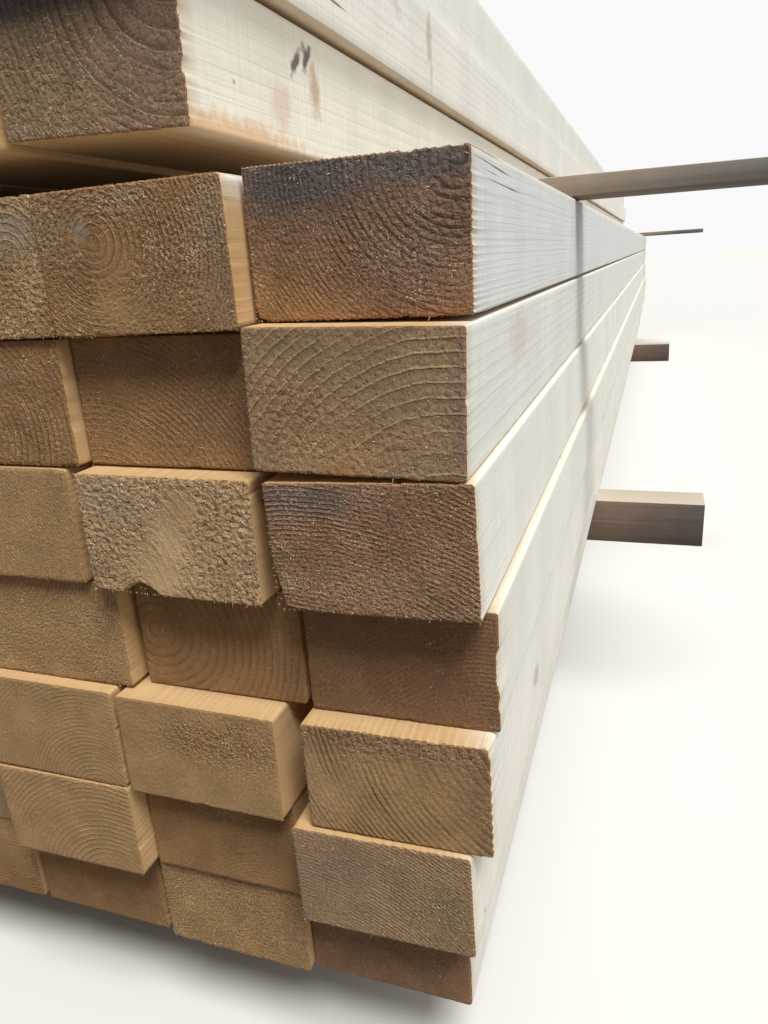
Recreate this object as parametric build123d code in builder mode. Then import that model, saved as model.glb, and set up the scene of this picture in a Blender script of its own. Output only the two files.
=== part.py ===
from build123d import *
import os
from collections import namedtuple
from math import cos, radians, sin
from random import Random

# Bundle of planed pine studs: a lower stack on two bearers, two thin laths across its top,
# and a narrower upper stack on the laths.
# X runs across the bundle, Y along the studs and Z up. The near end is at -Y.
# The origin is on the floor, under the middle of the bundle. All sizes are millimetres.

# Studs
STUD_WIDTH = 70.0
STUD_THICKNESS = 45.0
STUD_LENGTH = 3000.0
EASED_EDGE = 2.2  # the planer rounds the four long edges, here as one flat each

# Stacks
LOWER_COLUMNS = 16
UPPER_COLUMNS = 14
UPPER_SET_IN = 84.5  # from the lower stack's right side to the upper stack's
SEAT = 0.3  # room between a piece and what it lies on

# Studs that are not in the lists below lie within these limits
USUAL_GAP = 3.4  # between two studs of a layer
GAP_SPREAD = 1.6
END_SPREAD = 8.0
ROLL_SPREAD = 0.4
MOST_LIFT = 0.6
CUT_SPREAD = 2.0  # studs are cut a little longer or shorter than their length
SPREAD_SEED = 17

# The three studs on the right of each layer, outermost first, the bottom layer first.
# Each has the room on its right, how far its near end is set back, its roll in degrees,
# which lifts its right side, and how far its bow lifts it off what it lies on.
# The outermost stud's room is measured from the side of its stack, and minus stands out.
LOWER_STACK = [
    [(8.5, 6.5, 0.0, 0.0), (1.0, 2.5, 0.0, 0.0), (4.0, 5.0, 0.0, 0.0)],
    [(2.0, -11.0, 1.3, 0.0), (4.5, 0.0, 0.0, 0.0), (1.0, -9.5, 0.7, 0.0)],
    [(-5.0, -9.0, 0.9, 0.0), (10.5, -9.5, -0.3, 0.0), (2.5, -9.0, -0.1, 0.0)],
    [(-6.0, 0.5, 0.4, 0.0), (3.0, 2.5, 0.0, 0.2), (3.5, -3.5, 0.0, 0.2)],
    [(-3.0, -11.5, 1.7, 0.0), (5.5, -10.5, -0.3, 0.5), (6.5, -7.0, 0.0, 0.5)],
    [(-0.5, -11.5, -1.3, 0.0), (2.5, -5.0, -0.3, 0.5), (1.0, -6.0, 0.0, 0.5)],
    [(-0.5, 0.0, -0.3, 0.0), (1.0, -9.5, 0.5, 0.5), (1.0, -8.0, 0.0, 0.5)],
]
UPPER_STACK = [
    [(0.0, 2.5, -2.0, 0.0), (2.0, 1.0, -0.5, 0.0), (2.0, 4.0, 0.0, 0.0)],
    [(-6.0, -4.0, -0.3, 0.0), (3.0, 3.0, 0.1, 0.0), (1.5, -6.0, 0.0, 0.0)],
    [(2.0, 3.0, 0.1, 0.0), (4.0, -5.0, 0.0, 0.0), (2.5, 6.0, 0.1, 0.0)],
]

# Laths between the stacks: thin sawn strips. Each has its distance in from its own end of the
# studs, and how far it reaches past the right and the left side of the stacks.
LATH_THICKNESS = 12.0
LATH_WIDTH = 45.0
NEAR_LATH_IN = 278.0
NEAR_LATH_RIGHT = 175.0
NEAR_LATH_LEFT = 50.0
FAR_LATH_IN = 265.0
FAR_LATH_RIGHT = 185.0
FAR_LATH_LEFT = 32.0

# Bearers under the lower stack: sawn timbers with their long edges just broken
BEARER_HEIGHT = 52.0
BEARER_WIDTH = 50.0
BROKEN_EDGE = 1.5
NEAR_BEARER_IN = 695.0
NEAR_BEARER_RIGHT = 114.0
NEAR_BEARER_LEFT = 40.0
FAR_BEARER_IN = 645.0
FAR_BEARER_RIGHT = 93.0
FAR_BEARER_LEFT = 62.0

Stud = namedtuple("Stud", "x z near length roll")
Bar = namedtuple("Bar", "left right front bottom width height")


def outline(x, z, roll, side):
    """The upper (side 1) or lower (side -1) outline of a stud's section, from left to right."""
    tilt = radians(roll)
    corners = [
        (-STUD_WIDTH / 2, STUD_THICKNESS / 2 - EASED_EDGE),
        (-STUD_WIDTH / 2 + EASED_EDGE, STUD_THICKNESS / 2),
        (STUD_WIDTH / 2 - EASED_EDGE, STUD_THICKNESS / 2),
        (STUD_WIDTH / 2, STUD_THICKNESS / 2 - EASED_EDGE),
    ]
    return [
        (x + u * cos(tilt) - side * v * sin(tilt), z + u * sin(tilt) + side * v * cos(tilt))
        for u, v in corners
    ]


def half_reach(roll):
    """Half the width that a rolled stud takes up."""
    tilt = radians(abs(roll))
    return STUD_WIDTH / 2 * cos(tilt) + (STUD_THICKNESS / 2 - EASED_EDGE) * sin(tilt)


def height_over(line, x):
    """The height of an outline at x, or None beside it."""
    for (start, low), (end, high) in zip(line, line[1:]):
        if start <= x <= end:
            return low + (high - low) * (x - start) / (end - start)
    return None


def resting_height(x, roll, tops):
    """The height of a stud's centre when it lies on the tops under it."""
    underside = outline(x, 0.0, roll, -1)
    heights = []
    for top in tops:
        for place, _ in underside + top:
            carried = height_over(top, place)
            carrier = height_over(underside, place)
            if carried is not None and carrier is not None:
                heights.append(carried - carrier)
    return max(heights) + SEAT


def lay_layer(listed, columns, side, tops, spread):
    """The studs of one layer, from right to left, on the tops under them."""
    studs = []
    edge = side
    for column in range(columns):
        if column < len(listed):
            room, set_back, roll, lift = listed[column]
        else:
            room = USUAL_GAP + spread.uniform(-GAP_SPREAD, GAP_SPREAD)
            set_back = spread.uniform(-END_SPREAD, END_SPREAD)
            roll = spread.uniform(-ROLL_SPREAD, ROLL_SPREAD)
            lift = spread.uniform(0, MOST_LIFT)
        x = edge - room - half_reach(roll)
        z = resting_height(x, roll, tops) + lift
        length = STUD_LENGTH + spread.uniform(-CUT_SPREAD, CUT_SPREAD)
        studs.append(Stud(x, z, set_back, length, roll))
        edge = x - half_reach(roll)
    return studs


def lay_stack(stack, columns, side, tops, spread):
    """The layers of one stack, each on the one before."""
    layers = []
    for listed in stack:
        layers.append(lay_layer(listed, columns, side, tops, spread))
        tops = [outline(stud.x, stud.z, stud.roll, 1) for stud in layers[-1]]
    return layers


def bar_top(bar):
    """The top line of a lath or bearer."""
    height = bar.bottom + bar.height
    return [(bar.left, height), (bar.right, height)]


# Where everything lies, measured from the near end and the right side of the lower stack
spread = Random(SPREAD_SEED)
lower_left = -LOWER_COLUMNS * (STUD_WIDTH + USUAL_GAP)
upper_left = -UPPER_SET_IN - UPPER_COLUMNS * (STUD_WIDTH + USUAL_GAP)
laths_left = min(lower_left, upper_left)

near_bearer_bar = Bar(
    left=lower_left - NEAR_BEARER_LEFT,
    right=NEAR_BEARER_RIGHT,
    front=NEAR_BEARER_IN,
    bottom=0.0,
    width=BEARER_WIDTH,
    height=BEARER_HEIGHT,
)
far_bearer_bar = near_bearer_bar._replace(
    left=lower_left - FAR_BEARER_LEFT,
    right=FAR_BEARER_RIGHT,
    front=STUD_LENGTH - FAR_BEARER_IN - BEARER_WIDTH,
)
lower_layers = lay_stack(LOWER_STACK, LOWER_COLUMNS, 0.0, [bar_top(near_bearer_bar)], spread)

lower_tops = [outline(stud.x, stud.z, stud.roll, 1) for stud in lower_layers[-1]]
near_lath_bar = Bar(
    left=laths_left - NEAR_LATH_LEFT,
    right=NEAR_LATH_RIGHT,
    front=NEAR_LATH_IN,
    bottom=max(height for top in lower_tops for _, height in top) + SEAT,
    width=LATH_WIDTH,
    height=LATH_THICKNESS,
)
far_lath_bar = near_lath_bar._replace(
    left=laths_left - FAR_LATH_LEFT,
    right=FAR_LATH_RIGHT,
    front=STUD_LENGTH - FAR_LATH_IN - LATH_WIDTH,
)
upper_layers = lay_stack(UPPER_STACK, UPPER_COLUMNS, -UPPER_SET_IN, [bar_top(near_lath_bar)], spread)

# The middle of the whole bundle, which becomes the origin
all_bars = [near_bearer_bar, far_bearer_bar, near_lath_bar, far_lath_bar]
all_studs = [stud for layer in lower_layers + upper_layers for stud in layer]
sides = [bar.left for bar in all_bars] + [bar.right for bar in all_bars]
sides += [stud.x - half_reach(stud.roll) for stud in all_studs]
sides += [stud.x + half_reach(stud.roll) for stud in all_studs]
ends = [stud.near for stud in all_studs] + [stud.near + stud.length for stud in all_studs]
middle_x = (min(sides) + max(sides)) / 2
middle_y = (min(ends) + max(ends)) / 2


def end_plane(stud):
    """The plane of a stud's near end, facing out of it, with its X across the stud."""
    tilt = radians(stud.roll)
    place = (stud.x - middle_x, stud.near - middle_y, stud.z)
    return Plane(origin=place, x_dir=(cos(tilt), 0, sin(tilt)), z_dir=(0, -1, 0))


def build_layer(studs, label):
    """One layer of studs, each a solid of its own."""
    with BuildPart() as layer:
        for stud in studs:
            with BuildSketch(end_plane(stud)) as section:
                Rectangle(STUD_WIDTH, STUD_THICKNESS)
                chamfer(section.vertices(), EASED_EDGE)
            extrude(amount=-stud.length)
    layer.part.label = label
    return layer.part


def build_bar(bar, label, broken_edge=0.0):
    """A lath or bearer that lies across the bundle."""
    corner = (bar.left - middle_x, bar.front - middle_y, bar.bottom)
    with BuildPart() as piece:
        with BuildSketch(Plane(origin=corner, x_dir=(0, 1, 0), z_dir=(1, 0, 0))) as section:
            Rectangle(bar.width, bar.height, align=(Align.MIN, Align.MIN))
            if broken_edge > 0:
                chamfer(section.vertices(), broken_edge)
        extrude(amount=bar.right - bar.left)
    piece.part.label = label
    return piece.part


pieces = [
    build_bar(near_bearer_bar, "near_bearer", BROKEN_EDGE),
    build_bar(far_bearer_bar, "far_bearer", BROKEN_EDGE),
    build_bar(near_lath_bar, "near_lath"),
    build_bar(far_lath_bar, "far_lath"),
]
for number, studs in enumerate(lower_layers + upper_layers, start=1):
    pieces.append(build_layer(studs, f"stud_layer_{number}"))

os.makedirs("parts", exist_ok=True)
for piece in pieces:
    export_step(piece, f"parts/{piece.label}.step")
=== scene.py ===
"""Dresses a bundle of planed pine studs: sawn ends, planed faces, laths, bearers, light and camera."""

import math
import random
from collections import namedtuple
from functools import partial

import bmesh
import bpy
from bpy.props import FloatProperty, FloatVectorProperty, IntProperty, PointerProperty
from mathutils import Matrix, Vector, noise


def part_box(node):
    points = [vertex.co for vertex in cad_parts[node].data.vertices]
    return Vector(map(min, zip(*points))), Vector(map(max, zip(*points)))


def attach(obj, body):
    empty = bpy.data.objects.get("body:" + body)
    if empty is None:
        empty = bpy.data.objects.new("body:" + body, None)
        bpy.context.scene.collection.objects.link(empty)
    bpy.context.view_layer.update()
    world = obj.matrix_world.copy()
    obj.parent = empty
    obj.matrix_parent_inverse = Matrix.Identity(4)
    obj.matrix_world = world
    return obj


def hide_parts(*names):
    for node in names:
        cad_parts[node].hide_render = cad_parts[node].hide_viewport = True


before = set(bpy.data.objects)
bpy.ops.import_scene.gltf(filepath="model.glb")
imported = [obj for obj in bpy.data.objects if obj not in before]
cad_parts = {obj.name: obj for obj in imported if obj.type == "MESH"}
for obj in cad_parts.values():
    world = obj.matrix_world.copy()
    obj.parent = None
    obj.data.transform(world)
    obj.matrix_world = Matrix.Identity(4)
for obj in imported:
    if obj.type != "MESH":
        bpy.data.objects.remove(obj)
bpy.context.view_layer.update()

bl_info = {
    "name": "Pine stud bundle",
    "version": (1, 0, 0),
    "blender": (4, 5, 0),
    "location": "View3D > Sidebar > Studs",
    "description": "Dresses a bundle of planed pine studs with sawn ends and planed faces",
    "category": "Object",
}

MM = 0.001
LAYERS = [f"stud_layer_{number}" for number in range(1, 11)]
STUD_LENGTH = 3.0

# The two layers whose tops are open to the weather
TOP_LOWER_LAYER = 7
TOP_LAYER = 10

# The order of a stud's materials in its mesh
PLANED, SAWN_END, FIBRES = range(3)

# How far in from its edge, and how far along the stud, the steps between growth rings wear a rim
STEP_BAND = 0.9 * MM
STEP_REACH = 12 * MM

# How many small chips each shown end has round its rim
CHIPS = 6

# The seed of everything that is left to chance
SEED = 4

# Faces that meet at more than this have a sharp edge between them
SHARP_ANGLE = math.radians(40)

# A stud's place, read from its solid: the middle of its section, its roll, where it ends, and its
# width and thickness
StudPlace = namedtuple("StudPlace", "x z roll near far width thickness")

# A patch on a sawn end where the wood has another tone or is more or less torn, or where shade
# is painted on it: its middle, to the right and up from the middle of the section, and its half
# width and half height, in millimetres
Patch = namedtuple("Patch", "u v wide tall tone torn strength")

# A dent in the rim of a sawn end: where it is, how wide, how deep and how far along the stud
Dent = namedtuple("Dent", "u v wide deep long")

# How one sawn end looks, sizes in millimetres. pith is where the middle of the tree lies from the
# middle of the section. ring is the width of the growth rings there, and tighten how much closer
# they get outwards. lines is -1 where the late wood shows dark and 1 where it stands up pale, a
# paleness that is partly painted highlight on its ridge, and show is how strongly. torn is how rough
# the saw left it. knot is the first knot's distance along the stud, its direction from the pith in
# degrees and its size, and cool is how cool a grey the stud bleaches to. cell is how far apart the
# end's points are, corner the radius of the stud's rounded edges, and sunk how much further back the
# end stands than its solid's
EndLook = namedtuple(
    "EndLook",
    "pith ring tighten lines show torn tone patches dents knot cool cell corner sunk",
    defaults=((), (), (300, 200, 6), 0.4, 0.8, 1.5, 0.0),
)

# Tones that sawn pine takes outdoors. Charcoal, umber and chestnut also serve as painted shade on a few
# ends
TONES = {
    "cream": "#B59872",
    "straw": "#A58764",
    "tan": "#997B56",
    "dun": "#90765A",
    "brown": "#8B6B49",
    "umber": "#84664E",
    "chestnut": "#785B42",
    "drab": "#8A7159",
    "gold": "#9F7A49",
    "olive": "#827051",
    "grey": "#8D8170",
    "mauve": "#7F685C",
    "slate": "#66625F",
    "charcoal": "#4F5054",
    "rust": "#9C663C",
}

# The ends that the photograph shows best, by layer and column from the right
SHOWN_ENDS = {
    (8, 0): EndLook(
        pith=(32, 21), ring=17, tighten=4.7, lines=-0.6, show=0.85, torn=0.35, tone="drab",
        knot=(900, 20, 7), cool=0.1, cell=0.55, corner=1.0,
        patches=[
            Patch(24, 2, 14, 16, "mauve", 0.15, 0.6),
            Patch(-20, -8, 16, 14, "olive", 0.5, 0.5),
            # The charcoal patch is painted shadow, a soft dark band over the top left of the end
            Patch(-18, 19, 28, 9, "charcoal", 0.2, 0.8),
        ],
        dents=[Dent(35, 8, 5, 0.7, 6), Dent(35, -6, 6, 0.9, 5), Dent(35, 1, 3, 0.5, 5)],
    ),
    (8, 1): EndLook(pith=(20, -40), ring=2.0, tighten=0.2, lines=-0.4, show=0.6, torn=0.4, tone="brown"),
    (7, 0): EndLook(
        pith=(31, 20), ring=3.2, tighten=0.95, lines=-0.9, show=1.0, torn=0.4, tone="umber",
        knot=(820, 60, 5), cool=1.0, cell=0.5, corner=1.2,
        patches=[
            Patch(-18, 17, 24, 9, "charcoal", 0.4, 0.75),
            Patch(20, 19, 20, 6, "slate", 0.5, 0.8),
            Patch(14, -8, 12, 8, "mauve", 0.9, 0.5),
            Patch(24, 4, 10, 12, "mauve", 0.5, 0.5),
            Patch(-26, -18, 20, 9, "gold", 0.15, 0.5),
            Patch(16, -22, 26, 2.5, "rust", 0.4, 0.4),
        ],
        dents=[Dent(-35, -22.5, 9, 1.5, 200)],
    ),
    (7, 1): EndLook(
        pith=(-13, 6), ring=3.2, tighten=1.3, lines=0.1, show=0.8, torn=0.45, tone="brown",
        knot=(700, 120, 5), cell=0.5, corner=2.4,
        patches=[
            Patch(-7, 2, 8, 8, "brown", 0.03, 1.0),
            Patch(-6, -15, 14, 6, "tan", 0.05, 0.7),
            Patch(-18, 11, 3, 3, "grey", 0.0, 0.7),
            Patch(-30, 12, 7, 9, "olive", 1.0, 0.6),
            Patch(-4, 18, 12, 4, "drab", 1.0, 0.7),
            Patch(15, 0, 10, 9, "umber", 0.9, 0.5),
            Patch(30, 10, 6, 12, "grey", 0.7, 0.4),
            Patch(30, -12, 6, 10, "drab", 0.1, 0.6),
        ],
    ),
    (7, 2): EndLook(
        pith=(22, 4), ring=2.8, tighten=0.2, lines=0.1, show=0.6, torn=0.8, tone="tan",
        cell=0.6, patches=[Patch(26, 12, 9, 7, "grey", 0.0, 0.7)],
    ),
    (6, 0): EndLook(
        pith=(32, -52), ring=20.5, tighten=3.0, lines=0.6, show=0.7, torn=0.3, tone="dun",
        knot=(1500, 25, 5), cool=0.7, cell=0.5, corner=1.2,
        patches=[
            Patch(-4, 19, 36, 8, "olive", 0.15, 0.5),
            Patch(20, 6, 14, 10, "drab", 0.1, 0.5),
            Patch(-3, -22, 6, 3, "rust", 0.4, 0.6),
            Patch(34, 0, 3, 24, "mauve", 0.3, 0.6),
            Patch(-20, -4, 14, 10, "brown", 0.5, 0.6),
            Patch(-2, -14, 16, 6, "gold", 0.4, 0.3),
        ],
    ),
    (6, 1): EndLook(
        pith=(-31, -47), ring=2.8, tighten=0.35, lines=0.6, show=0.7, torn=0.3, tone="brown",
        cell=0.6, corner=1.2, sunk=4.5,
        # The two umber patches are painted shade at the top and the right of the end, under the stud
        # above and beside the stud to the right
        patches=[Patch(24, 4, 12, 20, "umber", 0.2, 0.5), Patch(-10, 14, 26, 8, "umber", 0.2, 0.6)],
    ),
    (6, 2): EndLook(pith=(-20, -12), ring=3.0, tighten=0.2, lines=0.0, show=0.85, torn=0.3, tone="brown"),
    (5, 0): EndLook(
        pith=(-25, -110), ring=1.6, tighten=0.0, lines=0.5, show=0.8, torn=0.5, tone="umber",
        knot=(1150, 80, 6), cool=0.5, cell=0.5, corner=1.2,
        patches=[
            Patch(30, 2, 8, 20, "umber", 0.5, 0.6),
            Patch(-20, 17, 16, 5, "slate", 0.4, 0.6),
            Patch(0, -14, 26, 8, "dun", 0.7, 0.5),
        ],
        dents=[Dent(-35, -20, 30, 3.0, 200)],
    ),
    (5, 1): EndLook(
        pith=(-40, -26), ring=4.0, tighten=0.1, lines=0.3, show=0.5, torn=0.8, tone="straw",
        cell=0.5, corner=1.2,
        patches=[
            Patch(-6, -14, 10, 9, "cream", 0.0, 1.0),
            Patch(1, -1, 8, 10, "cream", 0.0, 1.0),
            Patch(8, 12, 6, 8, "straw", 0.0, 0.9),
            Patch(-22, 12, 14, 8, "grey", 0.4, 0.4),
            Patch(-26, -12, 9, 8, "tan", 0.9, 0.5),
        ],
        dents=[
            Dent(-14.5, -22.5, 16, 4.6, 14),
            Dent(-9, -22.5, 7, 1.0, 10),
            Dent(-35, -22.5, 10, 1.6, 40),
        ],
    ),
    (5, 2): EndLook(pith=(-60, -60), ring=1.9, tighten=0.1, lines=0.2, show=0.3, torn=0.15, tone="tan"),
    # chestnut is this end's wood tone darkened further as painted shade, from the stud above which stands
    # out over it
    (4, 0): EndLook(
        pith=(33, -58), ring=1.8, tighten=0.05, lines=0.5, show=0.35, torn=0.12, tone="chestnut",
        knot=(1240, 10, 5), cool=0.3, cell=0.6, corner=1.2,
        dents=[
            Dent(35, 1, 18, 1.1, 20),
            Dent(35, 7, 5, 0.5, 12),
            Dent(35, -3, 4, 0.4, 9),
            Dent(35, -12, 6, 0.5, 9),
        ],
    ),
    (4, 1): EndLook(
        pith=(-27, 2), ring=4.5, tighten=0.5, lines=-0.5, show=0.55, torn=0.02, tone="brown",
        cell=0.6,
    ),
    (4, 2): EndLook(pith=(-30, 34), ring=2.0, tighten=0.2, lines=-0.2, show=0.6, torn=0.4, tone="tan"),
    (3, 0): EndLook(
        pith=(75, 38), ring=7.5, tighten=1.2, lines=-1.0, show=1.0, torn=0.12, tone="tan",
        knot=(900, 200, 6), cool=0.3, cell=0.6, corner=2.0,
        patches=[
            Patch(0, 19, 40, 5, "umber", 0.9, 0.7),
            Patch(32, 0, 5, 24, "umber", 0.3, 0.6),
            Patch(-30, -5, 9, 14, "straw", 0.1, 0.6),
        ],
    ),
    (3, 1): EndLook(
        pith=(-24, 2), ring=2.2, tighten=0.1, lines=0.2, show=0.2, torn=0.05, tone="tan",
        cell=0.6, patches=[Patch(12, 8, 24, 8, "brown", 0.9, 0.8)],
    ),
    (3, 2): EndLook(pith=(22, -30), ring=2.0, tighten=0.1, lines=0.4, show=0.45, torn=0.1, tone="tan"),
    (2, 0): EndLook(
        pith=(-45, -90), ring=1.9, tighten=0.1, lines=-0.2, show=0.7, torn=0.25, tone="dun",
        knot=(500, 30, 6), cool=0.15, cell=0.6, corner=2.2,
        patches=[
            Patch(24, -2, 14, 16, "olive", 0.5, 0.5),
            Patch(-20, 6, 18, 12, "mauve", 0.1, 0.4),
        ],
    ),
    (2, 1): EndLook(
        pith=(20, -44), ring=2.0, tighten=0.1, lines=0.2, show=0.3, torn=0.1, tone="brown",
        patches=[Patch(-4, 12, 20, 6, "brown", 0.7, 0.6)],
    ),
    (2, 2): EndLook(pith=(20, -34), ring=2.7, tighten=0.2, lines=0.7, show=0.6, torn=0.1, tone="tan"),
    (1, 0): EndLook(
        pith=(60, 70), ring=1.6, tighten=0.0, lines=-0.3, show=0.2, torn=0.15, tone="umber",
        corner=2.2,
    ),
    (1, 1): EndLook(pith=(-70, 40), ring=1.7, tighten=0.0, lines=0.2, show=0.35, torn=0.5, tone="tan"),
    (1, 2): EndLook(pith=(-40, -60), ring=1.8, tighten=0.0, lines=0.2, show=0.35, torn=0.1, tone="brown"),
}

# Drying checks in the planed sides: where each starts and ends, along the bundle and up, and its
# half width, in millimetres
CHECKS = [
    (-1502, 372.2, -1452, 371.6, 0.35),
    (-1499, 370.0, -1432, 368.2, 0.4),
    (-1480, 365.3, -1410, 364.2, 0.35),
    (-1490, 367.6, -1455, 366.9, 0.2),
    (-1404, 444.0, -1373, 443.4, 0.6),
]

# A mark on the bundle's right side: its middle along the bundle and up, its half length and half
# height, how far its top leans towards the far end in degrees, its colour and its strength
Mark = namedtuple("Mark", "y z long tall lean colour strength")
MARKS = [
    Mark(-1418, 418, 2.6, 7.5, 44, "#4A362B", 0.9),
    Mark(-1407, 421.5, 2.4, 6.5, 43, "#46342B", 0.9),
    Mark(-1410, 424.5, 2.5, 2.5, 0, "#6A5140", 0.6),
    Mark(-1401, 411.5, 5, 10, -10, "#A2743F", 0.6),
    Mark(-1432, 401, 9, 8, 20, "#C3A28C", 0.4),
    Mark(-1467, 403.3, 1.0, 0.8, 0, "#8A8378", 0.7),
    # A painted warm glow along the lower edge of the upper stack's side, near its end
    Mark(-1470, 387, 60, 6, 0, "#D0A46F", 0.7),
    Mark(-1247, 462, 6, 13, 6, "#9C8E7C", 0.6),
    Mark(-1244, 445, 3.5, 10, 0, "#A8977F", 0.4),
    Mark(-1305, 463, 8, 5, 30, "#A89C90", 0.35),
    Mark(-1423, 315, 20, 12, 0, "#B8A68E", 0.4),
    Mark(-1406, 159, 9, 5.5, 10, "#8F8880", 0.55),
    Mark(-1493, 105.4, 1.2, 1.2, 0, "#7D7770", 0.7),
]

# Distance between the whorls of branches that a pine grows, one a year, and how far each is turned
# from the one before
WHORL_SPACING = 0.52
WHORL_TWIST = 2.4


def linear(hex_colour):
    """An sRGB colour such as #C8A27A as linear red, green and blue."""
    values = [int(hex_colour[i:i + 2], 16) / 255 for i in (1, 3, 5)]
    return tuple(v / 12.92 if v <= 0.04045 else ((v + 0.055) / 1.055) ** 2.4 for v in values)


def add_node(tree, kind, *values, sockets=None, stops=None, **settings):
    """A node with its settings, or a Math node where kind is the name of an operation.

    values go to the inputs that it uses, from the first on, and sockets to its named ones.
    """
    if kind.isupper():
        settings["operation"] = kind
        kind = "Math"
    node = tree.nodes.new("ShaderNode" + kind)
    for name, value in settings.items():
        setattr(node, name, value)
    used = [socket for socket in node.inputs if socket.enabled]
    named = [(node.inputs[name], value) for name, value in (sockets or {}).items()]
    for socket, value in [*zip(used, values), *named]:
        if isinstance(value, bpy.types.Node):
            value = next(output for output in value.outputs if output.enabled)
        if isinstance(value, bpy.types.NodeSocket):
            tree.links.new(value, socket)
        elif socket.type == "RGBA":
            socket.default_value = (*value[:3], 1)
        else:
            socket.default_value = value
    if stops:
        elements = node.color_ramp.elements
        while len(elements) < len(stops):
            elements.new(0.5)
        for element, (place, shade) in zip(elements, stops):
            element.position = place
            element.color = (shade, shade, shade, 1)
    return node


def read_studs(node_name):
    """The places of the studs in one CAD layer, from right to left."""
    bm = bmesh.new()
    bm.from_mesh(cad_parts[node_name].data)
    bmesh.ops.remove_doubles(bm, verts=bm.verts, dist=1e-6)
    left = set(bm.verts)
    studs = []
    while left:
        island = {left.pop()}
        front = list(island)
        while front:
            vert = front.pop()
            for edge in vert.link_edges:
                other = edge.other_vert(vert)
                if other not in island:
                    island.add(other)
                    front.append(other)
        left -= island
        studs.append(read_stud([vert.co for vert in island]))
    bm.free()
    return sorted(studs, key=lambda stud: -stud.x)


def read_stud(points):
    """A stud's place from the corners of its solid."""
    near = min(p.y for p in points)
    far = max(p.y for p in points)
    corners = [p for p in points if p.y < (near + far) / 2]
    x = sum(p.x for p in corners) / len(corners)
    z = sum(p.z for p in corners) / len(corners)
    low = sorted(sorted(corners, key=lambda p: p.z)[:4], key=lambda p: p.x)
    run = low[2] + low[3] - low[0] - low[1]
    roll = math.atan2(run.z, run.x)
    across = [(p.x - x) * math.cos(roll) + (p.z - z) * math.sin(roll) for p in corners]
    up = [(p.z - z) * math.cos(roll) - (p.x - x) * math.sin(roll) for p in corners]
    return StudPlace(x, z, roll, near, far, max(across) - min(across), max(up) - min(up))


def section_matrix(stud):
    """Turns a point across and up a stud's section into its place in the bundle."""
    return Matrix.Translation((stud.x, 0, stud.z)) @ Matrix.Rotation(-stud.roll, 4, "Y")


def rounded(u, v, stud, radius):
    """A point of the section's rectangle, moved in where the long edges are rounded."""
    over_u = abs(u) - (stud.width / 2 - radius)
    over_v = abs(v) - (stud.thickness / 2 - radius)
    if over_u <= 0 or over_v <= 0:
        return u, v
    shrink = max(over_u, over_v) / math.hypot(over_u, over_v)
    new_u = stud.width / 2 - radius + over_u * shrink
    new_v = stud.thickness / 2 - radius + over_v * shrink
    return math.copysign(new_u, u), math.copysign(new_v, v)


def noise_at(u, v, scale, seed):
    """Smooth noise over a stud's section, from -1 to 1, with scale patterns a metre."""
    return noise.noise(Vector((u * scale, v * scale, seed)))


def near_patch(patch, u, v, seed):
    """How much of a patch there is at a point, with a wandering outline."""
    wander = noise_at(u, v, 130, seed + patch.u) * 0.5
    du = (u / MM - patch.u) / patch.wide
    dv = (v / MM - patch.v) / patch.tall
    return patch.strength * min(1.0, math.exp(-(du * du + dv * dv) * (1 + wander)) * 1.25)


def tone_and_tear(u, v, look, seed):
    """The wood's tone at a point of an end, with the shade that some patches paint, and how torn it is
    there.
    """
    tone = Vector(linear(TONES[look.tone]))
    torn = look.torn
    for patch in look.patches:
        amount = near_patch(patch, u, v, seed)
        tone = tone.lerp(Vector(linear(TONES[patch.tone])), amount)
        torn += (patch.torn - torn) * amount
    return tone, torn


def saw_relief(u, v, torn, seed):
    """How far a sawn end stands out at a point, in metres."""
    place = Vector((u, v, seed))
    coarse = (0.05 + 0.25 * torn) * noise.noise(place * 600)
    fine = (0.04 + 0.2 * torn) * noise.noise(place * 1500)
    waves = 0.15 * noise_at(u, v, 40, seed + 7)
    return (coarse + fine + waves) * MM


def rings_at(u, v, look):
    """How many growth rings lie between the pith and a point of an end."""
    radius = math.hypot(u / MM - look.pith[0], v / MM - look.pith[1])
    return radius / look.ring * (1 + look.tighten * radius / 100)


def add_end(bm, stud, facing, look, settings, seed):
    """A grid over one sawn end. facing is -1 at the near end and 1 at the far end."""
    cell = look.cell * MM
    made = bmesh.ops.create_grid(
        bm,
        x_segments=round(stud.width / cell),
        y_segments=round(stud.thickness / cell),
        size=1.0,
    )
    place = stud.near if facing < 0 else stud.far
    layers = bm.verts.layers
    for vert in made["verts"]:
        on_edge = max(abs(vert.co.x), abs(vert.co.y)) > 0.999
        u = vert.co.x * stud.width / 2
        v = vert.co.y * stud.thickness / 2
        u, v = rounded(u, v, stud, look.corner * MM)
        tone, torn = tone_and_tear(u, v, look, seed)
        relief = saw_relief(u, v, torn, seed)
        if on_edge:
            relief -= settings.edge_wear * (0.4 + max(0.0, noise_at(u, v, 260, seed + 3)))
        vert.co = (u, place + facing * relief, v)
        vert[layers.float_vector["tone"]] = tone
        vert[layers.float["torn"]] = torn
    return made["verts"]


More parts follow.
